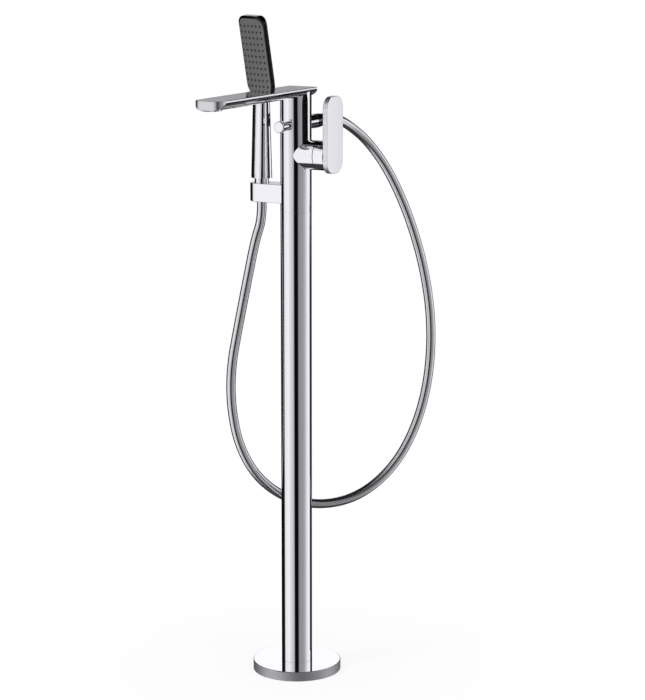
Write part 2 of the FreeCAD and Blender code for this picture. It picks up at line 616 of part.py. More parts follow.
def make_lever():
    z = CARTRIDGE_Z
    hub = cylinder(HOUSING_R, HUB_END_X - HUB_START_X, V(HUB_START_X, 0, z), X_AXIS)
    hub = hub.fuse(cylinder(NECK_R, NECK_L, V(HUB_END_X, 0, z), X_AXIS))
    hub = hub.cut(sphere(HUB_SPHERE_R, V(PIVOT_X, 0, z)))
    socket_length = STEM_END_X - HUB_START_X + FIXED_GAP
    hub = hub.cut(cylinder(STEM_R + FIXED_GAP, socket_length, V(HUB_START_X, 0, z), X_AXIS))
    grub_start = V(GRUB_X, 0, z - STEM_R)
    hub = hub.cut(cylinder(GRUB_R + SCREW_GAP, HOUSING_R, grub_start, V(0, 0, -1)))
    head_x = HUB_END_X - PLATE_SCREW_BITE
    for point in plate_screw_points(PIVOT_X + DOME_R / 2):
        hub = hub.cut(cylinder(PLATE_SCREW_HEAD_R + SCREW_GAP, head_x - point.x, point, X_AXIS))
        hub = hub.cut(cylinder(PLATE_SCREW_R + SCREW_GAP, HUB_END_X, point, X_AXIS))
    write("lever_hub", hub)
    write("lever_grub_screw", cylinder(GRUB_R, GRUB_L, grub_start - V(0, 0, FIXED_GAP), V(0, 0, -1)))

    low = (PLATE_X, -PLATE_W / 2, z - PLATE_DROP)
    high = (PLATE_X + PLATE_T, PLATE_W / 2, z - PLATE_DROP + PLATE_H)
    plate = round_box(low, high, PLATE_CORNER_R, X_AXIS)
    plate = plate.makeFillet(PLATE_EDGE_R, edges_at(plate, 0, PLATE_X + PLATE_T))
    for point in plate_screw_points(PLATE_X):
        plate = plate.cut(cylinder(PLATE_SCREW_R + SCREW_GAP, PLATE_SCREW_BITE, point, X_AXIS))
    write("lever_plate", plate)

    screws = []
    for point in plate_screw_points(head_x - PLATE_SCREW_HEAD_T):
        head = cylinder(PLATE_SCREW_HEAD_R, PLATE_SCREW_HEAD_T, point, X_AXIS)
        shank_length = PLATE_X + PLATE_SCREW_BITE - SCREW_GAP - point.x
        screws.append(head.fuse(cylinder(PLATE_SCREW_R, shank_length, point, X_AXIS)))
    write("lever_plate_screws", Part.makeCompound(screws))


# ================================================================ diverter
def make_diverter(body_cylinder):
    thread_y = -COLUMN_R + BUSH_THREAD_L
    bush = cylinder(BUSH_R, -COLUMN_R + 4 - BUSH_END_Y, V(0, BUSH_END_Y, DIVERTER_Z), Y_AXIS)
    bush = bush.cut(body_cylinder)
    thread = cylinder(CHAMBER_R - FIXED_GAP, thread_y - BUSH_END_Y, V(0, BUSH_END_Y, DIVERTER_Z), Y_AXIS)
    bush = bush.fuse(thread)
    bush = bush.cut(cylinder(SPINDLE_R + RUNNING_GAP, 2 * COLUMN_R, V(0, BUSH_END_Y, DIVERTER_Z), Y_AXIS))
    write("diverter_bush", bush)

    knob_back = BUSH_END_Y - KNOB_GAP
    knob = cylinder(KNOB_R, KNOB_T, V(0, knob_back - KNOB_T, DIVERTER_Z), Y_AXIS)
    knob = knob.makeFillet(KNOB_EDGE_R, edges_at(knob, 1, knob_back - KNOB_T))
    socket_depth = KNOB_T * 0.6
    knob = knob.cut(cylinder(SPINDLE_R, socket_depth, V(0, knob_back - socket_depth, DIVERTER_Z), Y_AXIS))
    write("diverter_knob", knob)

    spindle_start = knob_back - socket_depth
    spindle = cylinder(SPINDLE_R, PLUNGER_Y - spindle_start, V(0, spindle_start, DIVERTER_Z), Y_AXIS)
    write("diverter_spindle", spindle)
    plunger_r = CHAMBER_R - MOVING_GAP
    plunger = cylinder(plunger_r, PLUNGER_T, V(0, PLUNGER_Y, DIVERTER_Z), Y_AXIS)
    write("diverter_plunger", plunger)


# ================================================================ hose outlet and nuts
def make_outlet(body_cylinder):
    spigot_y = COLUMN_R - OUTLET_SPIGOT_L + FIXED_GAP
    thread_y = OUTLET_END_Y
    union = cylinder(OUTLET_R, OUTLET_END_Y - COLUMN_R / 2, V(0, COLUMN_R / 2, DIVERTER_Z), Y_AXIS)
    union = union.cut(body_cylinder)
    union = union.fuse(cylinder(OUTLET_SPIGOT_R, OUTLET_END_Y - spigot_y, V(0, spigot_y, DIVERTER_Z), Y_AXIS))
    thread_r = NUT_BIG_R - NUT_WALL - FIXED_GAP
    union = union.fuse(cylinder(thread_r, OUTLET_THREAD_L, V(0, thread_y, DIVERTER_Z), Y_AXIS))
    bore_length = thread_y + OUTLET_THREAD_L - spigot_y
    union = union.cut(cylinder(OUTLET_BORE_R, bore_length, V(0, spigot_y, DIVERTER_Z), Y_AXIS))
    valve_y = thread_y + OUTLET_THREAD_L - OUTLET_VALVE_L
    valve_r = OUTLET_SPIGOT_R - 1
    union = union.cut(cylinder(valve_r + FIXED_GAP, OUTLET_VALVE_L, V(0, valve_y, DIVERTER_Z), Y_AXIS))
    write("hose_outlet_union", union)
    write("outlet_check_valve", ring(valve_r, valve_r / 2, OUTLET_VALVE_L, V(0, valve_y, DIVERTER_Z), Y_AXIS))


def hose_nut(thread_length):
    """A conical nut along +Z whose big end with the thread is at z = 0."""
    thread_r = NUT_BIG_R - NUT_WALL
    straight = thread_length + WASHER_T + FIXED_GAP
    nut = cylinder(NUT_BIG_R, straight, V(0, 0, 0))
    nut = nut.fuse(cone(NUT_BIG_R, NUT_SMALL_R, HOSE_NUT_L - straight, V(0, 0, straight)))
    nut = nut.cut(cylinder(thread_r, straight, V(0, 0, 0)))
    return nut.cut(cylinder(FERRULE_R + FIXED_GAP, HOSE_NUT_L, V(0, 0, 0)))


def nut_group(thread_length):
    """The nut, the washer on its thread's end and the hose's ferrule, all along +Z."""
    washer_r = NUT_BIG_R - NUT_WALL - FIXED_GAP
    washer = ring(washer_r, HOSE_BORE_R, WASHER_T, V(0, 0, thread_length))
    ferrule_start = thread_length + WASHER_T
    ferrule = ring(FERRULE_R, HOSE_BORE_R, HOSE_NUT_L - ferrule_start, V(0, 0, ferrule_start))
    return hose_nut(thread_length), washer, ferrule


def place_on(shape, position, direction):
    turned = shape.copy()
    turned.Placement = FreeCAD.Placement(position, FreeCAD.Rotation(Z_AXIS, direction))
    return turned


def make_hose_nuts():
    outlet_nut, outlet_washer, outlet_ferrule = nut_group(OUTLET_THREAD_L - NUT_JOINT_GAP)
    outlet_start = V(0, OUTLET_NUT_Y, DIVERTER_Z)
    write("outlet_hose_nut", place_on(outlet_nut, outlet_start, Y_AXIS))
    write("outlet_washer", place_on(outlet_washer, outlet_start, Y_AXIS))
    write("outlet_ferrule", place_on(outlet_ferrule, outlet_start, Y_AXIS))

    cone_nut, cone_washer, cone_ferrule = nut_group(OUTLET_THREAD_L - NUT_JOINT_GAP)
    cone_start = V(HANDSET_X, 0, CONE_NUT_TOP_Z)
    down = V(0, 0, -1)
    write("handset_hose_nut", place_on(cone_nut, cone_start, down))
    write("handset_washer", place_on(cone_washer, cone_start, down))
    write("handset_ferrule", place_on(cone_ferrule, cone_start, down))


# ================================================================ hose
HOSE_ROUTE = [
    V(0, HOSE_START_Y, DIVERTER_Z),
    V(0, HOSE_START_Y + 35, DIVERTER_Z),
    V(8, 168, 889),
    V(28, 200, 860),
    V(57, 217, 806),
    V(89, 229, 728),
    V(114, 235, 642),
    V(129, 233, 552),
    V(131, 220, 462),
    V(119, 196, 384),
    V(94, 164, 318),
    V(55, 124, 272),
    V(8, 81, 257),
    V(-37, 41, 270),
    V(-75, 8, 306),
    V(-100, -14, 362),
    V(-110, -25, 430),
    V(-109, -27, 500),
    V(-98, -21, 572),
    V(-84, -13, 650),
    V(-70, -3, 712),
    V(HANDSET_X, 0, HOSE_END_Z - 28.5),
    V(HANDSET_X, 0, HOSE_END_Z),
]


def hose_path():
    """Straight runs joined by tangent arcs: a list of (kind, data, length) in order."""
    pieces = []
    radii = []
    here = HOSE_ROUTE[0]
    for i in range(1, len(HOSE_ROUTE) - 1):
        before = HOSE_ROUTE[i].sub(HOSE_ROUTE[i - 1])
        after = HOSE_ROUTE[i + 1].sub(HOSE_ROUTE[i])
        turn = before.getAngle(after)
        reach = 0.45 * min(before.Length, after.Length)
        radius = reach / math.tan(turn / 2)
        radii.append((radius, math.degrees(turn)))
        into = HOSE_ROUTE[i].sub(before.normalize() * reach)
        out_direction = V(after)
        out_direction.normalize()
        out = HOSE_ROUTE[i].add(out_direction * reach)
        pieces.append(("run", here, into, into.sub(here).Length))
        normal = before.cross(out_direction)
        normal.normalize()
        inward = normal.cross(before)
        inward.normalize()
        centre = into.add(inward * radius)
        pieces.append(("arc", centre, (into, normal, turn, radius), radius * turn))
        here = out
    last = HOSE_ROUTE[-1]
    pieces.append(("run", here, last, last.sub(here).Length))
    return pieces, radii


def path_stations(pieces):
    """A function that gives the point and the direction at a length along the path."""
    def at(length):
        left = length
        for index, (kind, first, data, span) in enumerate(pieces):
            if left <= span or index == len(pieces) - 1:
                break
            left -= span
        if kind == "run":
            direction = data.sub(first)
            direction.normalize()
            return first.add(direction * left), direction
        start, normal, turn, radius = data
        rotation = FreeCAD.Rotation(normal, math.degrees(left / radius))
        spoke = rotation.multVec(start.sub(first))
        direction = normal.cross(spoke)
        direction.normalize()
        return first.add(spoke), direction
    return at


def hose_rings(at, stations):
    """One circle per (length, radius) station, with an X axis carried steadily along."""
    wires = []
    side = V(X_AXIS)
    for length, radius in stations:
        point, direction = at(length)
        side = side.sub(direction * side.dot(direction))
        side.normalize()
        circle = Part.Circle()
        circle.Center = point
        circle.Axis = direction
        circle.XAxis = side
        circle.Radius = radius
        wires.append(Part.Wire(circle.toShape()))
    return wires


def make_hose():
    pieces, radii = hose_path()
    total = sum(piece[3] for piece in pieces)
    at = path_stations(pieces)
    plain_end = HOSE_D
    pitch = (total - 2 * plain_end) / HOSE_RIBS
    valley = HOSE_R - HOSE_RIB_DEPTH
    stations = [(0.0, HOSE_R), (plain_end - pitch * 0.2, HOSE_R)]
    for i in range(HOSE_RIBS):
        start = plain_end + i * pitch
        stations.append((start, valley))
        stations.append((start + pitch * 0.3, HOSE_R))
        stations.append((start + pitch * 0.7, HOSE_R))
        stations.append((start + pitch * 0.98, valley))
    stations.append((total - plain_end + pitch * 0.2, HOSE_R))
    stations.append((total, HOSE_R))
    outer = Part.makeLoft(hose_rings(at, stations), True, True)
    bore_step = HOSE_D
    bore_count = int(total / bore_step)
    bore_stations = [(total * i / bore_count, HOSE_BORE_R) for i in range(bore_count + 1)]
    bore = Part.makeLoft(hose_rings(at, bore_stations), True, True)
    hose = outer.cut(bore)
    write("shower_hose", hose)
    tightest = min(radii)
    print("hose length %.1f, tightest radius %.1f, its turn %.1f" % (total, tightest[0], tightest[1]))
    print("radii " + " ".join("%.0f" % radius for radius, turn in radii))
    section = math.pi * (HOSE_R ** 2 - HOSE_BORE_R ** 2)
    print("hose volume %.0f, full section times length %.0f" % (hose.Volume, section * total))


# ================================================================ bracket
def cone_nut_taper():
    """Where the hose nut's taper starts below its top, and its slope."""
    straight = OUTLET_THREAD_L - NUT_JOINT_GAP + WASHER_T + FIXED_GAP
    slope = (NUT_BIG_R - NUT_SMALL_R) / (HOSE_NUT_L - straight)
    return straight, slope


def seat_radius(z, grow):
    """The radius of the seat at height z, which follows the hose nut's taper."""
    straight, slope = cone_nut_taper()
    depth = CONE_NUT_TOP_Z - z
    return NUT_BIG_R - max(0.0, depth - straight) * slope + grow


def seat_solid(grow):
    """The tapered room for the hose nut in the bracket."""
    top = BRACKET_Z + BRACKET_H
    straight, slope = cone_nut_taper()
    taper_z = CONE_NUT_TOP_Z - straight
    low_r = seat_radius(BRACKET_Z, grow)
    low = cone(low_r, seat_radius(taper_z, grow), taper_z - BRACKET_Z, V(HANDSET_X, 0, BRACKET_Z))
    if top <= taper_z:
        return low
    return low.fuse(cylinder(seat_radius(top, grow), top - taper_z, V(HANDSET_X, 0, taper_z)))


def make_bracket(body_cylinder):
    top = BRACKET_Z + BRACKET_H
    arm = box((HANDSET_X, -BRACKET_R, BRACKET_Z), (0, BRACKET_R, top))
    arm = arm.fuse(cylinder(BRACKET_R, BRACKET_H, V(HANDSET_X, 0, BRACKET_Z))).removeSplitter()
    rims = edges_at(arm, 2, top) + edges_at(arm, 2, BRACKET_Z)
    rims = [edge for edge in rims if edge.BoundBox.XMin < -1]
    arm = arm.makeFillet(BRACKET_EDGE_R, rims)
    arm = arm.cut(body_cylinder)
    arm = arm.cut(seat_solid(CONE_GAP + LINER_T))
    arm = arm.cut(bracket_screw_holes())
    write("handset_bracket", arm)
    write("bracket_liner", seat_solid(CONE_GAP + LINER_T).cut(seat_solid(CONE_GAP)))

    screws = []
    for point in bracket_screw_points():
        shank = cylinder(BRACKET_SCREW_R, BRACKET_SCREW_L - SCREW_GAP, point, V(-1, 0, 0))
        head_start = point + V(BRACKET_SCREW_HEAD_T, 0, 0)
        head = cylinder(BRACKET_SCREW_HEAD_R, BRACKET_SCREW_HEAD_T, head_start, V(-1, 0, 0))
        screws.append(shank.fuse(head))
    write("bracket_screws", Part.makeCompound(screws))


# ================================================================ handset
YAW = math.radians(HANDSET_YAW)
LEAN = math.radians(HEAD_LEAN)
FORWARD = V(math.sin(YAW), -math.cos(YAW), 0)
ACROSS = V(math.cos(YAW), math.sin(YAW), 0)
HEAD_UP = FORWARD * math.sin(LEAN) + Z_AXIS * math.cos(LEAN)
HEAD_NORMAL = FORWARD * math.cos(LEAN) - Z_AXIS * math.sin(LEAN)
HANDLE_FOOT = V(HANDSET_X, 0, HANDSET_BOTTOM_Z)
BEND = HANDLE_FOOT + Z_AXIS * HANDLE_LENGTH
HEAD_BASE = BEND - FORWARD * HEAD_SET_BACK
SECTION_POLES = 20


def handset_section(centre, up, half_w, front, back, power):
    """The poles of a closed superellipse that lies square to up."""
    normal = FORWARD.sub(up * FORWARD.dot(up))
    normal.normalize()
    poles = []
    swell = 3 / (2 + math.cos(2 * math.pi / SECTION_POLES))
    for i in range(SECTION_POLES):
        angle = 2 * math.pi * (i + 0.5) / SECTION_POLES
        c = math.cos(angle)
        s = math.sin(angle)
        across = swell * half_w * math.copysign(abs(c) ** (2 / power), c)
        depth = front if s > 0 else back
        out = swell * depth * math.copysign(abs(s) ** (2 / power), s)
        poles.append(centre + ACROSS * across + normal * out)
    return poles


def smooth_solid(rows):
    """A solid whose side is one smooth surface steered by the rows of poles, with flat ends."""
    columns = [[row[i] for row in rows] for i in range(SECTION_POLES)]
    spans = len(rows) - 3
    knots_round = [float(i) for i in range(SECTION_POLES + 1)]
    knots_along = [float(i) for i in range(spans + 1)]
    mults_along = [4] + [1] * (spans - 1) + [4]
    surface = Part.BSplineSurface()
    surface.buildFromPolesMultsKnots(columns, [1] * (SECTION_POLES + 1), mults_along,
                                     knots_round, knots_along, True, False, 3, 3)
    side = surface.toShape()
    caps = [Part.Face(Part.Wire(edge)) for edge in side.Edges if edge.isClosed()]
    shell = Part.makeShell([side] + caps)
    shell.sewShape()
    solid = Part.makeSolid(shell)
    if solid.Volume < 0:
        solid.reverse()
    return solid


def handset_loft():
    """The handle, the shoulders and the head, with the head's top still square."""
    foot = (HANDLE_FOOT_W / 2, HANDLE_FOOT_D / 2, HANDLE_FOOT_D / 2)
    neck = (HANDLE_NECK_W / 2, HANDLE_NECK_D / 2, HANDLE_NECK_D / 2)
    rows = []
    for share in HANDLE_STATIONS:
        size = tuple(a + (b - a) * share for a, b in zip(foot, neck))
        centre = HANDLE_FOOT + Z_AXIS * (HANDLE_LENGTH * share)
        rows.append(handset_section(centre, Z_AXIS, *size, HANDLE_SQUARENESS))
    for along, share, lean_share in HEAD_STATIONS:
        lean = LEAN * lean_share
        up = FORWARD * math.sin(lean) + Z_AXIS * math.cos(lean)
        centre = BEND + HEAD_UP * along - FORWARD * (HEAD_SET_BACK * lean_share)
        half_w = neck[0] + (HEAD_W / 2 - neck[0]) * share
        front = neck[1] + (HEAD_FRONT - neck[1]) * share
        back = neck[2] + (HEAD_BACK - neck[2]) * share
        power = HANDLE_SQUARENESS + (HEAD_SQUARENESS - HANDLE_SQUARENESS) * share
        rows.append(handset_section(centre, up, half_w, front, back, power))
    return smooth_solid(rows)


def corner_spot(side, degrees, out):
    """A point of the head's outline on its rounded top corner at one side (-1 or 1)."""
    angle = math.radians(degrees)
    middle = HEAD_W / 2 + HEAD_TOP_REACH - HEAD_TOP_R * math.cos(math.radians(HEAD_TOP_START))
    across = side * (middle + HEAD_TOP_R * math.cos(angle))
    return head_point(across, HEAD_LENGTH - HEAD_TOP_R + HEAD_TOP_R * math.sin(angle), out)


def top_waste():
    """All that lies outside the head's rounded top outline."""
    depth = 2 * HANDLE_FOOT_D
    middle = (HEAD_TOP_START + 90) / 2
    start = corner_spot(-1, HEAD_TOP_START, -depth)
    end = corner_spot(1, HEAD_TOP_START, -depth)
    left = Part.Arc(start, corner_spot(-1, middle, -depth), corner_spot(-1, 90, -depth))
    right = Part.Arc(corner_spot(1, 90, -depth), corner_spot(1, middle, -depth), end)
    left_out = start - ACROSS * HEAD_W
    right_out = end + ACROSS * HEAD_W
    rise = HEAD_UP * HEAD_LENGTH
    edges = [
        Part.makeLine(left_out, start),
        left.toShape(),
        Part.makeLine(corner_spot(-1, 90, -depth), corner_spot(1, 90, -depth)),
        right.toShape(),
        Part.makeLine(end, right_out),
        Part.makeLine(right_out, right_out + rise),
        Part.makeLine(right_out + rise, left_out + rise),
        Part.makeLine(left_out + rise, left_out),
    ]
    return Part.Face(Part.Wire(edges)).extrude(HEAD_NORMAL * (2 * depth))


def handset_outside():
    """The whole outside: the loft with the head's top rounded."""
    solid = handset_loft().cut(top_waste())
    low = HEAD_LENGTH - HEAD_TOP_R
    rims = [edge for edge in solid.Edges if edge.CenterOfMass.sub(HEAD_BASE).dot(HEAD_UP) > low]
    return solid.makeFillet(HEAD_EDGE_R, [edge for edge in rims if edge.Length > HEAD_TOP_R * 0.75])


def head_point(across, along, out):
    return HEAD_BASE + ACROSS * across + HEAD_UP * along + HEAD_NORMAL * out


def face_prism(inset, out_from, out_to):
    """The spray face's outline as a prism square to the face."""
    half = HEAD_W / 2 - FACE_RIM - inset
    top = HEAD_LENGTH - FACE_TOP_GAP - inset
    bottom = FACE_START + inset
    corner = FACE_CORNER_R - inset
    low_corner = half * 0.62
    outline = [
        ("line", (-half + low_corner, bottom), (half - low_corner, bottom)),
        ("arc", (half - low_corner, bottom + low_corner), low_corner, -90, 0),
        ("line", (half, bottom + low_corner), (half, top - corner)),
        ("arc", (half - corner, top - corner), corner, 0, 90),
        ("line", (half - corner, top), (-half + corner, top)),
        ("arc", (-half + corner, top - corner), corner, 90, 180),
        ("line", (-half, top - corner), (-half, bottom + low_corner)),
        ("arc", (-half + low_corner, bottom + low_corner), low_corner, 180, 270),
    ]
    edges = []
    for item in outline:
        if item[0] == "line":
            start = head_point(item[1][0], item[1][1], out_from)
            end = head_point(item[2][0], item[2][1], out_from)
            edges.append(Part.makeLine(start, end))
        else:
            centre, radius, first, last = item[1:]
            spots = []
            for degrees in (first, (first + last) / 2, last):
                angle = math.radians(degrees)
                across = centre[0] + radius * math.cos(angle)
                along = centre[1] + radius * math.sin(angle)
                spots.append(head_point(across, along, out_from))
            edges.append(Part.Arc(*spots).toShape())
    face = Part.Face(Part.Wire(edges))
    return face.extrude(HEAD_NORMAL * (out_to - out_from))


def face_height(outside, across, along):
    """How far the handset's front stands out at a point of the head."""
    ray = Part.makeLine(head_point(across, along, 0.0), head_point(across, along, 4 * HEAD_FRONT))
    inside = outside.common(ray)
    return max(vertex.Point.sub(HEAD_BASE).dot(HEAD_NORMAL) for vertex in inside.Vertexes)


def nozzle_spots():
    spots = []
    top = HEAD_LENGTH - NOZZLE_TOP_GAP
    half = HEAD_W / 2 - FACE_RIM - 2.2
    for row in range(NOZZLE_ROWS):
        along = top - row * NOZZLE_PITCH_S
        for column in range(NOZZLE_COLUMNS):
            across = (column - (NOZZLE_COLUMNS - 1) / 2) * NOZZLE_PITCH_U
            low_corner = half * 0.62
            above = along - FACE_START - 2.2
            if above < low_corner:
                reach = half - low_corner + math.sqrt(max(0.0, low_corner ** 2 - (low_corner - above) ** 2))
                if abs(across) > reach:
                    continue
            spots.append((across, along))
    return spots


def make_handset():
    outside = handset_outside()
    inner_front = outside.copy()
    inner_front.translate(HEAD_NORMAL * -FACE_T)
    inner_mat = outside.copy()
    inner_mat.translate(HEAD_NORMAL * -(FACE_T + MAT_T))

    reach = 4 * HEAD_FRONT
    pocket = face_prism(0.0, 0.0, reach).common(outside).cut(inner_mat)
    shell = outside.cut(pocket)
    chamber_side = HEAD_W / 2 - FACE_RIM - CHAMBER_INSET
    chamber_front = face_height(outside, chamber_side, HEAD_LENGTH / 2) - FACE_T - MAT_T
    shell = shell.cut(face_prism(CHAMBER_INSET, chamber_front - CHAMBER_DEPTH, reach / 2).common(inner_mat))
    shell = shell.cut(cylinder(HANDSET_BORE_R, HANDLE_LENGTH, HANDLE_FOOT))
    channel_end = head_point(0.0, FACE_START + CHAMBER_INSET * 2, 0.0)
    channel = channel_end.sub(BEND)
    shell = shell.cut(cylinder(HEAD_CHANNEL_R, channel.Length, BEND, channel))
    shell = shell.cut(cylinder(INSERT_R + FIXED_GAP, INSERT_UP, HANDLE_FOOT))
    write("handset_shell", shell)

    face = face_prism(FIXED_GAP, 0.0, reach).common(outside).cut(inner_front)
    mat = face_prism(FIXED_GAP, 0.0, reach).common(inner_front).cut(inner_mat)
    holes = []
    nubs = []
    for across, along in nozzle_spots():
        height = face_height(outside, across, along)
        hole_start = head_point(across, along, height - 2 * FACE_T)
        holes.append(cylinder(NOZZLE_R + FIXED_GAP, 3 * FACE_T, hole_start, HEAD_NORMAL))
        length = NOZZLE_PROUD + FACE_T + MAT_T / 2
        nub_start = head_point(across, along, height + NOZZLE_PROUD - length)
        nubs.append(cylinder(NOZZLE_R, length, nub_start, HEAD_NORMAL))
    write("spray_face", face.cut(Part.makeCompound(holes)))
    write("nozzle_mat", mat.fuse(nubs))

    insert_start = HANDLE_FOOT - Z_AXIS * OUTLET_THREAD_L
    insert = ring(INSERT_R, HOSE_BORE_R, OUTLET_THREAD_L + INSERT_UP, insert_start)
    write("handset_insert", insert)


# ================================================================ build
def main():
    os.makedirs("parts", exist_ok=True)
    body_cylinder = cylinder(COLUMN_R, SPOUT_TOP_Z - SEAM_Z, V(0, 0, SEAM_Z))
    spout_solid = spout_outside()
    make_base()
    make_supply()
    make_column()
    make_spout(spout_solid)
    make_mixer_body(spout_solid)
    make_cartridge()
    make_lever()
    make_diverter(body_cylinder)
    make_outlet(body_cylinder)
    make_hose_nuts()
    make_bracket(body_cylinder)
    make_handset()
    make_hose()


main()
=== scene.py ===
import json
import math

import bpy
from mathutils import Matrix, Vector


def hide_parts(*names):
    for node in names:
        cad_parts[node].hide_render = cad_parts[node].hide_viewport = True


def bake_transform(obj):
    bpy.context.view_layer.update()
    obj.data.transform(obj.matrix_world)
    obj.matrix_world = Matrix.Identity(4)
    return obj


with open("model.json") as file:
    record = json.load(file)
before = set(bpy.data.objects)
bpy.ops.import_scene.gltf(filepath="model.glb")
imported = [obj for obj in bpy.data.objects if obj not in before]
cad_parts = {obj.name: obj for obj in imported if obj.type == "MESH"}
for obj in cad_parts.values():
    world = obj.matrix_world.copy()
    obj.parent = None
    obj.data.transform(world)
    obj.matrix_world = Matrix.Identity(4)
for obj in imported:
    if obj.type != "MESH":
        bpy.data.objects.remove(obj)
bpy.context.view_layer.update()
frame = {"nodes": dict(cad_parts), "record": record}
NODES = frame["nodes"]

# ---------------------------------------------------------------- camera
CAM_AZIMUTH = 29.36
CAM_DISTANCE = 3.72
CAM_HEIGHT = 1.2817
CAM_PITCH = 11.33
CAM_YAW = -0.65
CAM_FOCAL_PX = 2350.2
IMAGE_LONG_SIDE = 700
SENSOR_MM = 36.0


def make_camera():
    """The camera at the photograph's viewing angle: pitched down, turned a little, not rolled."""
    azimuth = math.radians(CAM_AZIMUTH)
    pitch = math.radians(CAM_PITCH)
    heading = math.atan2(math.cos(azimuth), -math.sin(azimuth)) + math.radians(CAM_YAW)
    level = math.cos(pitch)
    forward = Vector((math.cos(heading) * level, math.sin(heading) * level, -math.sin(pitch)))
    data = bpy.data.cameras.new("camera")
    data.sensor_width = SENSOR_MM
    data.lens = CAM_FOCAL_PX / IMAGE_LONG_SIDE * SENSOR_MM
    data.clip_start = 0.05
    data.clip_end = 60.0
    camera = bpy.data.objects.new("camera", data)
    camera.location = (CAM_DISTANCE * math.sin(azimuth), -CAM_DISTANCE * math.cos(azimuth), CAM_HEIGHT)
    camera.rotation_mode = "QUATERNION"
    camera.rotation_quaternion = forward.to_track_quat("-Z", "Y")
    bpy.context.scene.collection.objects.link(camera)
    bpy.context.scene.camera = camera


# ---------------------------------------------------------------- node helpers
class Tree:
    """A short way to write a node tree."""

    def __init__(self, tree):
        self.tree = tree
        tree.nodes.clear()

    def add(self, kind, settings=None, **sockets):
        node = self.tree.nodes.new(kind)
        for key, value in (settings or {}).items():
            setattr(node, key, value)
        for key, value in sockets.items():
            self.put(node.inputs[key.replace("_", " ")], value)
        return node

    def put(self, socket, value):
        if isinstance(value, bpy.types.NodeSocket):
            self.tree.links.new(value, socket)
        else:
            socket.default_value = value

    def math(self, operation, *values):
        node = self.tree.nodes.new("ShaderNodeMath")
        node.operation = operation
        for socket, value in zip(node.inputs, values):
            self.put(socket, value)
        return node.outputs[0]

    def span(self, value, low, high, to_low=0.0, to_high=1.0, smooth=True):
        node = self.tree.nodes.new("ShaderNodeMapRange")
        node.interpolation_type = "SMOOTHSTEP" if smooth else "LINEAR"
        self.put(node.inputs["Value"], value)
        limits = {"From Min": low, "From Max": high, "To Min": to_low, "To Max": to_high}
        for name, number in limits.items():
            node.inputs[name].default_value = number
        return node.outputs[0]

    def mix(self, factor, a, b):
        node = self.tree.nodes.new("ShaderNodeMix")
        node.data_type = "RGBA"
        self.put(node.inputs[0], factor)
        self.put(node.inputs[6], a)
        self.put(node.inputs[7], b)
        return node.outputs[2]

    def ramp(self, factor, stops):
        node = self.tree.nodes.new("ShaderNodeValToRGB")
        node.color_ramp.interpolation = "LINEAR"
        elements = node.color_ramp.elements
        while len(elements) < len(stops):
            elements.new(1.0)
        for element, (position, color) in zip(elements, stops):
            element.position = position
            element.color = color
        self.put(node.inputs[0], factor)
        return node.outputs[0]


def grey(level, tint=(1.0, 1.0, 1.0)):
    """A linear colour from a screen level of 0 to 255."""
    share = level / 255.0
    linear = share / 12.92 if share <= 0.04045 else ((share + 0.055) / 1.055) ** 2.4
    return (linear * tint[0], linear * tint[1], linear * tint[2], 1.0)


# ---------------------------------------------------------------- studio
COOL = (0.985, 0.985, 1.03)
# what the metal mirrors: (degrees round the object from the camera's side, + to the right; grey level)
SIDES = (
    (-180, 36), (-150, 32), (-138, 16), (-105, 22), (-97, 232), (-60, 246), (-50, 226), (-26, 196),
    (-19, 165), (-14, 10), (11, 10), (16, 128), (24, 146), (46, 152), (64, 172), (84, 220), (98, 246),
    (122, 244), (124, 36), (150, 32), (180, 36),
)
# what level tops mirror, straight behind the object: (degrees up; grey level)
BACK = (
    (0, 40), (2.5, 152), (5.5, 160), (8.0, 215), (10.0, 120), (14.0, 225), (17.0, 250), (26.0, 250),
    (31.0, 30),
)
BACK_TOP = 40.0
BACK_FOOT = (-1.0, 0.5)
BACK_FROM = (171.0, 175.0)
# edges of the darker areas, each from where it starts to where it is full (degrees), and their grey levels
REAR_FROM = (118.5, 123.5)
REAR_ABOVE = (7.0, 12.0)
REAR_BELOW = (-13.0, -17.0)
REAR_GREY = 12
RIGHT_FROM = (108.5, 112.0)
RIGHT_BELOW = (-7.4, -8.6)
RIGHT_GREY = 50
CEILING_FROM = (45.0, 50.0)
CEILING_GREY = 8
GROUND_FROM = (-49.0, -54.0)
GROUND_GREY = 58
MIRRORED_STRENGTH = 1.06
SOFT_COLOR = (0.98, 0.99, 1.0, 1.0)
SOFT_STRENGTH = 0.62
WHITE = (1.0, 1.0, 1.0, 1.0)
FLOOR_HALF_SIZE = 9.0
FLOOR_DROP = 0.0002
FLOOR_COLOR = (0.9, 0.9, 0.9, 1.0)
# distance from the object over which the floor turns into plain white, and the white's share up close
FLOOR_FADE = (0.06, 0.5)
FLOOR_WHITE_NEAR = 0.86


def mix_shaders(tree, factor, first, second):
    node = tree.add("ShaderNodeMixShader")
    tree.put(node.inputs[0], factor)
    tree.put(node.inputs[1], first.outputs[0])
    tree.put(node.inputs[2], second.outputs[0])
    return node


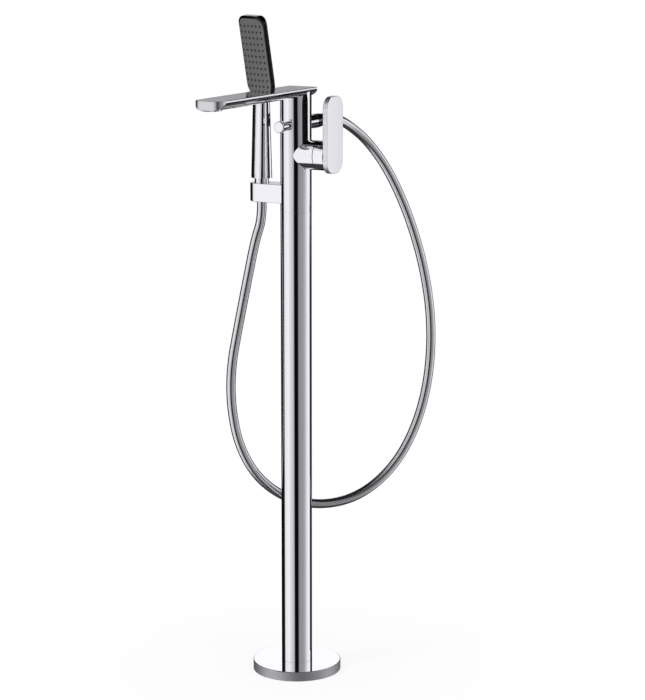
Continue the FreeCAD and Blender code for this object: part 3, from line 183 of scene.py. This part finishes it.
def make_world():
    """White for the camera, soft light for dull surfaces and a studio of grey bands for the metal."""
    world = bpy.data.worlds.new("studio")
    bpy.context.scene.world = world
    world.use_nodes = True
    tree = Tree(world.node_tree)
    direction = tree.add("ShaderNodeTexCoord").outputs["Generated"]
    x, y, z = tree.add("ShaderNodeSeparateXYZ", Vector=direction).outputs
    sine = math.sin(math.radians(CAM_AZIMUTH))
    cosine = math.cos(math.radians(CAM_AZIMUTH))
    toward = tree.math("ADD", tree.math("MULTIPLY", x, sine), tree.math("MULTIPLY", y, -cosine))
    right = tree.math("ADD", tree.math("MULTIPLY", x, cosine), tree.math("MULTIPLY", y, sine))
    turn = tree.math("ARCTAN2", right, toward)
    turn = tree.math("ADD", tree.math("DIVIDE", turn, 2 * math.pi), 0.5)
    rise = tree.math("MULTIPLY", tree.math("ARCSINE", z), 180 / math.pi)
    sides = tree.ramp(turn, [((side + 180) / 360.0, grey(level, COOL)) for side, level in SIDES])
    degrees = tree.math("MULTIPLY", tree.math("SUBTRACT", turn, 0.5), 360.0)
    rear = tree.math("ABSOLUTE", degrees)
    high_or_low = tree.math("MAXIMUM", tree.span(rise, *REAR_ABOVE), tree.span(rise, *REAR_BELOW))
    dark_rear = tree.math("MULTIPLY", tree.span(rear, *REAR_FROM), high_or_low)
    around = tree.mix(dark_rear, sides, grey(REAR_GREY, COOL))
    dark_right = tree.math("MULTIPLY", tree.span(degrees, *RIGHT_FROM), tree.span(rise, *RIGHT_BELOW))
    around = tree.mix(dark_right, around, grey(RIGHT_GREY, COOL))
    stops = [(up / BACK_TOP, grey(level, COOL)) for up, level in BACK]
    panel = tree.ramp(tree.span(rise, 0.0, BACK_TOP, smooth=False), stops)
    at_back = tree.math("MULTIPLY", tree.span(rear, *BACK_FROM), tree.span(rise, *BACK_FOOT))
    around = tree.mix(at_back, around, panel)
    around = tree.mix(tree.span(rise, *CEILING_FROM), around, grey(CEILING_GREY, COOL))
    around = tree.mix(tree.span(rise, *GROUND_FROM), around, grey(GROUND_GREY, COOL))
    path = tree.add("ShaderNodeLightPath")
    mirrored = tree.add("ShaderNodeBackground", Color=around, Strength=MIRRORED_STRENGTH)
    soft = tree.add("ShaderNodeBackground", Color=SOFT_COLOR, Strength=SOFT_STRENGTH)
    plain = tree.add("ShaderNodeBackground", Color=WHITE, Strength=1.0)
    light = mix_shaders(tree, path.outputs["Is Glossy Ray"], soft, mirrored)
    all_rays = mix_shaders(tree, path.outputs["Is Camera Ray"], light, plain)
    output = tree.add("ShaderNodeOutputWorld")
    tree.put(output.inputs["Surface"], all_rays.outputs[0])


def make_floor():
    """A plain pale floor that keeps the object's shadow and fades into white away from it."""
    size = FLOOR_HALF_SIZE
    mesh = bpy.data.meshes.new("floor")
    corners = [(-size, -size), (size, -size), (size, size), (-size, size)]
    mesh.from_pydata([(x, y, -FLOOR_DROP) for x, y in corners], [], [(0, 1, 2, 3)])
    floor = bpy.data.objects.new("floor", mesh)
    bpy.context.scene.collection.objects.link(floor)
    material = bpy.data.materials.new("floor_white")
    material.use_nodes = True
    tree = Tree(material.node_tree)
    matte = tree.add("ShaderNodeBsdfDiffuse", Color=FLOOR_COLOR)
    shine = tree.add("ShaderNodeEmission", Color=WHITE, Strength=1.0)
    path = tree.add("ShaderNodeLightPath")
    spot = tree.add("ShaderNodeTexCoord").outputs["Object"]
    away = tree.add("ShaderNodeVectorMath", {"operation": "LENGTH"})
    tree.put(away.inputs[0], spot)
    white = tree.span(away.outputs["Value"], *FLOOR_FADE, FLOOR_WHITE_NEAR, 1.0)
    share = tree.math("MULTIPLY", path.outputs["Is Camera Ray"], white)
    blend = mix_shaders(tree, share, matte, shine)
    output = tree.add("ShaderNodeOutputMaterial")
    tree.put(output.inputs["Surface"], blend.outputs[0])
    mesh.materials.append(material)
    floor.visible_glossy = False


def add_light(name, location, target, size, power):
    data = bpy.data.lights.new(name, "AREA")
    data.shape = "DISK"
    data.size = size
    data.energy = power
    light = bpy.data.objects.new(name, data)
    light.location = location
    light.rotation_mode = "QUATERNION"
    light.rotation_quaternion = (Vector(target) - Vector(location)).to_track_quat("-Z", "Y")
    light.visible_glossy = False
    bpy.context.scene.collection.objects.link(light)


def make_lights():
    add_light("key", (-1.6, -2.6, 3.2), (0, 0, 0.5), 1.6, 60)
    add_light("fill", (2.6, -1.2, 2.2), (0, 0, 0.6), 1.8, 26)


# ---------------------------------------------------------------- materials
# places on the pieces (metres, degrees) for the looks below; a pair is where a look starts and is full
HEAD_BEND = (-0.063, 0.0, 0.940)
HEAD_SET_BACK = 0.0035
HEAD_YAW = -21.5
HEAD_LEAN = 9.4
HEAD_FRAME_ALONG = (0.006, 0.014)
HEAD_FRAME_OUT = (-0.0035, -0.0015)
HEAD_RIDGE_ALONG = (0.118, 0.108)
HEAD_RIDGE_OUT = (0.0046, 0.0053)
HEAD_RIDGE_SHARE = 0.75
PLATE_FRONT_X = 0.0708
PLATE_THICKNESS = 0.008
PLATE_EDGE_IN = (0.0004, 0.0009)
PLATE_BACK_IN = (0.0006, 0.0003)
HUB_ENDS_X = (0.0431, 0.0603)
HUB_LINE = 0.0003
SPOUT_TIP_Y = (-0.2535, -0.2575)
SPOUT_UNDER_Z = (0.9455, 0.9446)
SPOUT_TIP_ROUGH = 0.3
RIM_RADIUS = (0.0705, 0.0715)
RIM_Z = (0.0157, 0.0149)
POLISHED = (0.02, 0.06)
HANDSET_POLISH = (0.03, 0.08)
HAZE_SCALE = 90.0
HOSE_LEVEL = 0.86
ALONG_X = (0.08, 1.0, 1.0)
ALONG_Y = (1.0, 0.08, 1.0)
ALONG_Z = (1.0, 1.0, 0.08)


def surface(name):
    material = bpy.data.materials.new(name)
    material.use_nodes = True
    tree = Tree(material.node_tree)
    shader = tree.add("ShaderNodeBsdfPrincipled")
    output = tree.add("ShaderNodeOutputMaterial")
    tree.put(output.inputs["Surface"], shader.outputs[0])
    return material, tree, shader


def place(tree, scale=(1.0, 1.0, 1.0)):
    """Positions in the object's own frame, stretched per axis."""
    spot = tree.add("ShaderNodeTexCoord").outputs["Object"]
    return tree.add("ShaderNodeMapping", Vector=spot, Scale=scale).outputs[0]


def noise(tree, scale, detail=3.0, stretch=(1.0, 1.0, 1.0)):
    node = tree.add("ShaderNodeTexNoise", Vector=place(tree, stretch), Scale=scale, Detail=detail)
    return node.outputs[0]


def spread(tree, pattern, low=0.0, high=1.0):
    """The middle of a noise pattern, spread over a range."""
    return tree.span(pattern, 0.3, 0.7, low, high)


def bump(tree, shader, height, strength, distance):
    node = tree.add("ShaderNodeBump", Height=height, Strength=strength, Distance=distance)
    tree.put(shader.inputs["Normal"], node.outputs[0])


def chrome(name, level=0.93, rough=POLISHED):
    """Polished plating: a faint lengthwise haze and the slightest tint of blue."""
    material, tree, shader = surface(name)
    haze = noise(tree, HAZE_SCALE, 4.0, ALONG_Z)
    tree.put(shader.inputs["Metallic"], 1.0)
    other = (level * 0.97, level * 0.975, level * 0.99, 1.0)
    tint = tree.mix(noise(tree, 14.0), (level, level, level * 1.005, 1.0), other)
    tree.put(shader.inputs["Base Color"], tint)
    tree.put(shader.inputs["Roughness"], spread(tree, haze, *rough))
    return material


def plain_stuff(name, color, other, rough, metallic=0.0, scale=60.0, depth=0.15):
    """A material of two near colours in soft clouds, with a fine grain."""
    material, tree, shader = surface(name)
    pattern = noise(tree, scale, 5.0)
    tint = tree.mix(spread(tree, pattern), (*color, 1.0), (*other, 1.0))
    tree.put(shader.inputs["Base Color"], tint)
    tree.put(shader.inputs["Metallic"], metallic)
    tree.put(shader.inputs["Roughness"], spread(tree, pattern, rough * 0.85, min(1.0, rough * 1.15)))
    bump(tree, shader, noise(tree, scale * 6, 3.0), depth, 0.0003)
    return material


def spout_chrome():
    """The spout: polished, softer round its tip, with a painted dark reflection along its lower edge under
    the tip.
    """
    material, tree, shader = surface("chrome_spout")
    spot = tree.add("ShaderNodeSeparateXYZ", Vector=place(tree))
    tip = tree.span(spot.outputs["Y"], *SPOUT_TIP_Y)
    painted_reflection_line = tree.math("MULTIPLY", tip, tree.span(spot.outputs["Z"], *SPOUT_UNDER_Z))
    haze = spread(tree, noise(tree, HAZE_SCALE, 4.0, ALONG_Y), *POLISHED)
    tree.put(shader.inputs["Metallic"], 1.0)
    level = tree.mix(tip, (0.84, 0.84, 0.845, 1.0), (0.76, 0.76, 0.765, 1.0))
    # painted reflection: a dark line under the tip's edge
    tree.put(shader.inputs["Base Color"], tree.mix(painted_reflection_line, level, (0.2, 0.2, 0.205, 1.0)))
    more = tree.math("MULTIPLY", tip, SPOUT_TIP_ROUGH)
    tree.put(shader.inputs["Roughness"], tree.math("ADD", haze, more))
    return material


def base_chrome():
    """The base: polished on top, with a turned, softer rim."""
    material, tree, shader = surface("chrome_base")
    x, y, z = tree.add("ShaderNodeSeparateXYZ", Vector=place(tree)).outputs
    radius = tree.math("SQRT", tree.math("ADD", tree.math("MULTIPLY", x, x), tree.math("MULTIPLY", y, y)))
    rim = tree.math("MULTIPLY", tree.span(radius, *RIM_RADIUS), tree.span(z, *RIM_Z))
    lines = noise(tree, 1500.0, 2.0, (0.02, 0.02, 1.0))
    tree.put(shader.inputs["Metallic"], 1.0)
    tree.put(shader.inputs["Base Color"], tree.mix(rim, (0.98, 0.98, 0.985, 1.0), (0.6, 0.6, 0.615, 1.0)))
    soft = spread(tree, lines, 0.5, 0.6)
    tree.put(shader.inputs["Roughness"], tree.math("ADD", tree.math("MULTIPLY", rim, soft), 0.02))
    return material


def local(node, spot):
    """A spot of the whole model in one node's own frame."""
    return NODES[node].matrix_world.inverted() @ Vector(spot)


def head_chrome():
    """The hand shower: polished, with a black band painted round the spray face as a dark reflection."""
    material, tree, shader = surface("chrome_head")
    moved = tree.add("ShaderNodeVectorMath", {"operation": "SUBTRACT"})
    tree.put(moved.inputs[0], place(tree))
    yaw = math.radians(HEAD_YAW)
    lean = math.radians(HEAD_LEAN)
    forward = Vector((math.sin(yaw), -math.cos(yaw), 0.0))
    base = Vector(HEAD_BEND) - forward * HEAD_SET_BACK
    moved.inputs[1].default_value = local("handset_shell", base)
    reach = {}
    upright = Vector((0.0, 0.0, 1.0))
    axes = {"along": forward * math.sin(lean) + upright * math.cos(lean),
            "out": forward * math.cos(lean) - upright * math.sin(lean)}
    for name, axis in axes.items():
        dot = tree.add("ShaderNodeVectorMath", {"operation": "DOT_PRODUCT"})
        tree.put(dot.inputs[0], moved.outputs[0])
        dot.inputs[1].default_value = axis
        reach[name] = dot.outputs["Value"]
    front = tree.span(reach["out"], *HEAD_FRAME_OUT)
    frame_part = tree.math("MULTIPLY", tree.span(reach["along"], *HEAD_FRAME_ALONG), front)
    low_part = tree.span(reach["along"], *HEAD_RIDGE_ALONG)
    ridge = tree.math("MULTIPLY", tree.span(reach["out"], *HEAD_RIDGE_OUT), low_part)
    left = tree.math("SUBTRACT", 1.0, tree.math("MULTIPLY", ridge, HEAD_RIDGE_SHARE))
    # painted reflection: the band round the face goes near black, the lower forward ridge only a quarter
    # black
    painted_reflection = tree.math("MULTIPLY", frame_part, left)
    haze = noise(tree, HAZE_SCALE, 4.0, ALONG_Z)
    tint = tree.mix(painted_reflection, (0.93, 0.93, 0.94, 1.0), (0.03, 0.03, 0.032, 1.0))
    tree.put(shader.inputs["Base Color"], tint)
    tree.put(shader.inputs["Metallic"], 1.0)
    tree.put(shader.inputs["Roughness"], spread(tree, haze, *HANDSET_POLISH))
    return material


def hub_chrome():
    """The lever's hub: polished, with dark shadow lines at its two ends."""
    material, tree, shader = surface("chrome_hub")
    x = tree.add("ShaderNodeSeparateXYZ", Vector=place(tree)).outputs[0]
    first = local("lever_hub", (HUB_ENDS_X[0], 0, 0)).x
    last = local("lever_hub", (HUB_ENDS_X[1], 0, 0)).x
    line = tree.math("MAXIMUM", tree.span(x, first, first - HUB_LINE), tree.span(x, last, last + HUB_LINE))
    haze = noise(tree, HAZE_SCALE, 4.0, ALONG_X)
    tree.put(shader.inputs["Base Color"], tree.mix(line, (0.93, 0.93, 0.935, 1.0), (0.03, 0.03, 0.03, 1.0)))
    tree.put(shader.inputs["Metallic"], 1.0)
    tree.put(shader.inputs["Roughness"], spread(tree, haze, *POLISHED))
    return material


def plate_chrome():
    """The lever plate: a polished face, a finely brushed edge and a back painted black as shade between
    plate and hub.
    """
    material, tree, shader = surface("chrome_plate")
    x = tree.add("ShaderNodeSeparateXYZ", Vector=place(tree)).outputs[0]
    front_x = local("lever_plate", (PLATE_FRONT_X, 0, 0)).x
    back_x = front_x - PLATE_THICKNESS
    edge = tree.span(x, front_x - PLATE_EDGE_IN[0], front_x - PLATE_EDGE_IN[1])
    painted_shade_back = tree.span(x, back_x + PLATE_BACK_IN[0], back_x + PLATE_BACK_IN[1])
    haze = noise(tree, 500.0, 3.0, (0.05, 1.0, 1.0))
    # painted shade: the plate's back face goes black
    tree.put(shader.inputs["Base Color"], tree.mix(painted_shade_back, (0.96, 0.96, 0.965, 1.0), (0.03, 0.03, 0.03, 1.0)))
    tree.put(shader.inputs["Metallic"], 1.0)
    rough = tree.math("MULTIPLY", edge, spread(tree, haze, 0.36, 0.5))
    tree.put(shader.inputs["Roughness"], tree.math("ADD", rough, 0.04))
    return material


def hose_chrome():
    """The metal hose: a closely wound polished strip with a slight haze."""
    material, tree, shader = surface("hose_metal")
    cloud = noise(tree, 60.0, 4.0)
    level = HOSE_LEVEL
    tint = tree.mix(cloud, (level, level, level * 1.01, 1.0), (level * 0.8, level * 0.8, level * 0.82, 1.0))
    tree.put(shader.inputs["Base Color"], tint)
    tree.put(shader.inputs["Metallic"], 1.0)
    tree.put(shader.inputs["Roughness"], spread(tree, noise(tree, 300.0), 0.1, 0.2))
    bump(tree, shader, noise(tree, 1100.0, 2.0), 0.1, 0.0001)
    return material


def face_plastic():
    """The spray face: satin dark grey plastic with a fine grain."""
    material, tree, shader = surface("face_grey")
    cloud = noise(tree, 30.0, 4.0)
    tree.put(shader.inputs["Base Color"], tree.mix(cloud, grey(104), grey(88)))
    tree.put(shader.inputs["Roughness"], spread(tree, cloud, 0.38, 0.5))
    bump(tree, shader, noise(tree, 900.0, 2.0), 0.12, 0.0002)
    return material


def dress(node, material):
    mesh = NODES[node].data
    mesh.materials.clear()
    mesh.materials.append(material)


def make_materials():
    """One material per slot of the record, and special ones for the pieces that need their own."""
    made = {
        "chrome": chrome("chrome"),
        "chromed_plastic": chrome("chrome_handset", 0.92, HANDSET_POLISH),
        "steel": plain_stuff("steel", (0.56, 0.56, 0.57), (0.48, 0.48, 0.49), 0.3, 1.0, 300.0),
        "brass": plain_stuff("brass", (0.74, 0.58, 0.32), (0.62, 0.47, 0.25), 0.32, 1.0, 120.0),
        "braid": plain_stuff("braid", (0.5, 0.51, 0.52), (0.3, 0.3, 0.31), 0.42, 0.8, 700.0, 0.5),
        "black_rubber": plain_stuff("black_rubber", (0.012, 0.012, 0.013), (0.022, 0.022, 0.023), 0.6,
                                    0.0, 400.0),
        "white_plastic": plain_stuff("white_plastic", (0.8, 0.8, 0.77), (0.74, 0.74, 0.72), 0.42),
        "grey_plastic": plain_stuff("grey_plastic", (0.2, 0.2, 0.21), (0.16, 0.16, 0.17), 0.5),
        "ceramic": plain_stuff("ceramic", (0.86, 0.85, 0.81), (0.82, 0.81, 0.78), 0.14),
        "hose_metal": hose_chrome(),
        "face_grey": face_plastic(),
    }
    for row in frame["record"]["subparts"]:
        dress(row["node"], made[row["material_slot"]])
    own = {"base_cover": base_chrome(), "handset_shell": head_chrome(), "lever_plate": plate_chrome(),
           # the outlet hose nut's chrome is darkened to 0.14: painted shade and a painted dark reflection
           "spout": spout_chrome(), "outlet_hose_nut": chrome("chrome_nut_painted_dark", 0.14, (0.08, 0.14)),
           "lever_hub": hub_chrome()}
    for node, material in own.items():
        dress(node, material)
    return made


# ---------------------------------------------------------------- shower hose
HOSE_DIAMETER = 0.0155
HOSE_ROUTE_MM = [
    (0, 96, 901), (0, 128, 901), (7.5, 164, 886), (27.5, 197, 855.5), (57, 217, 804.5),
    (89, 229, 728), (114, 235, 642), (129, 233, 552.5), (131, 220, 463), (120, 197, 384),
    (95.5, 165, 318.5), (55, 124, 272.5), (8, 81, 259), (-37, 41, 272), (-75, 8, 308),
    (-99, -14, 363.5), (-108.5, -25, 431.5), (-107.5, -27, 501), (-96, -20, 573), (-83, -12, 650),
    (-73, -4.5, 712), (-63, 0, 744.7), (-63, 0, 773.2),
]
RIB_PITCH = 0.0024
RIB_DEPTH = 0.00012
# one rib along the hose: each step's share of the rib's height
RIB_SHAPE = (0.0, 0.9, 1.0, 1.0, 1.0, 1.0, 1.0, 0.9)
HOSE_SIDES = 20
PLAIN_END = 0.006
CURVE_STEPS = 40


def hose_line():
    """The hose's centreline: a smooth curve steered by the route's points, read back as close points."""
    curve = bpy.data.curves.new("hose_line", "CURVE")
    curve.dimensions = "3D"
    curve.resolution_u = CURVE_STEPS
    spline = curve.splines.new("NURBS")
    spline.points.add(len(HOSE_ROUTE_MM) - 1)
    for point, spot in zip(spline.points, HOSE_ROUTE_MM):
        point.co = (spot[0] / 1000, spot[1] / 1000, spot[2] / 1000, 1.0)
    spline.order_u = 3
    spline.use_endpoint_u = True
    line = bpy.data.objects.new("hose_line", curve)
    bpy.context.scene.collection.objects.link(line)
    bpy.context.view_layer.update()
    mesh = bpy.data.meshes.new_from_object(line)
    points = [v.co.copy() for v in mesh.vertices]
    bpy.data.objects.remove(line)
    bpy.data.meshes.remove(mesh)
    return points


def walk(points, spacing):
    """The same line with its points evenly spaced, and its length."""
    lengths = [0.0]
    for a, b in zip(points, points[1:]):
        lengths.append(lengths[-1] + (b - a).length)
    total = lengths[-1]
    count = round(total / spacing)
    out = []
    index = 0
    for i in range(count + 1):
        at = total * i / count
        while index < len(lengths) - 2 and lengths[index + 1] < at:
            index += 1
        span = lengths[index + 1] - lengths[index]
        share = (at - lengths[index]) / span if span > 0 else 0.0
        out.append(points[index].lerp(points[index + 1], min(1.0, share)))
    return out, total


def ribbed_tube(line, spacing):
    """A closed tube along evenly spaced points, ribbed but for its two ends."""
    vertices = []
    faces = []
    side = Vector((1, 0, 0))
    plain = int(PLAIN_END / spacing)
    for i, point in enumerate(line):
        before = line[max(0, i - 1)]
        after = line[min(len(line) - 1, i + 1)]
        direction = (after - before).normalized()
        side = (side - direction * side.dot(direction)).normalized()
        up = direction.cross(side)
        inside = plain < i < len(line) - plain
        radius = HOSE_DIAMETER / 2
        if inside:
            radius -= RIB_DEPTH * (1 - RIB_SHAPE[i % len(RIB_SHAPE)])
        for k in range(HOSE_SIDES):
            angle = 2 * math.pi * k / HOSE_SIDES
            vertices.append(point + (side * math.cos(angle) + up * math.sin(angle)) * radius)
    for i in range(len(line) - 1):
        for k in range(HOSE_SIDES):
            a = i * HOSE_SIDES + k
            b = i * HOSE_SIDES + (k + 1) % HOSE_SIDES
            faces.append((a, b, b + HOSE_SIDES, a + HOSE_SIDES))
    faces.append(tuple(reversed(range(HOSE_SIDES))))
    last = (len(line) - 1) * HOSE_SIDES
    faces.append(tuple(last + k for k in range(HOSE_SIDES)))
    mesh = bpy.data.meshes.new("hose")
    mesh.from_pydata(vertices, [], faces)
    mesh.polygons.foreach_set("use_smooth", [True] * len(mesh.polygons))
    return mesh


def make_hose(material):
    spacing = RIB_PITCH / len(RIB_SHAPE)
    line, total = walk(hose_line(), spacing)
    mesh = ribbed_tube(line, spacing)
    mesh.materials.append(material)
    hose = bpy.data.objects.new("hose", mesh)
    bpy.context.scene.collection.objects.link(hose)
    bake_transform(hose)
    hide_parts("shower_hose")


# ---------------------------------------------------------------- scene
make_camera()
made = make_materials()
make_hose(made["hose_metal"])
make_world()
make_floor()
make_lights()
bpy.context.scene.view_settings.view_transform = "Standard"
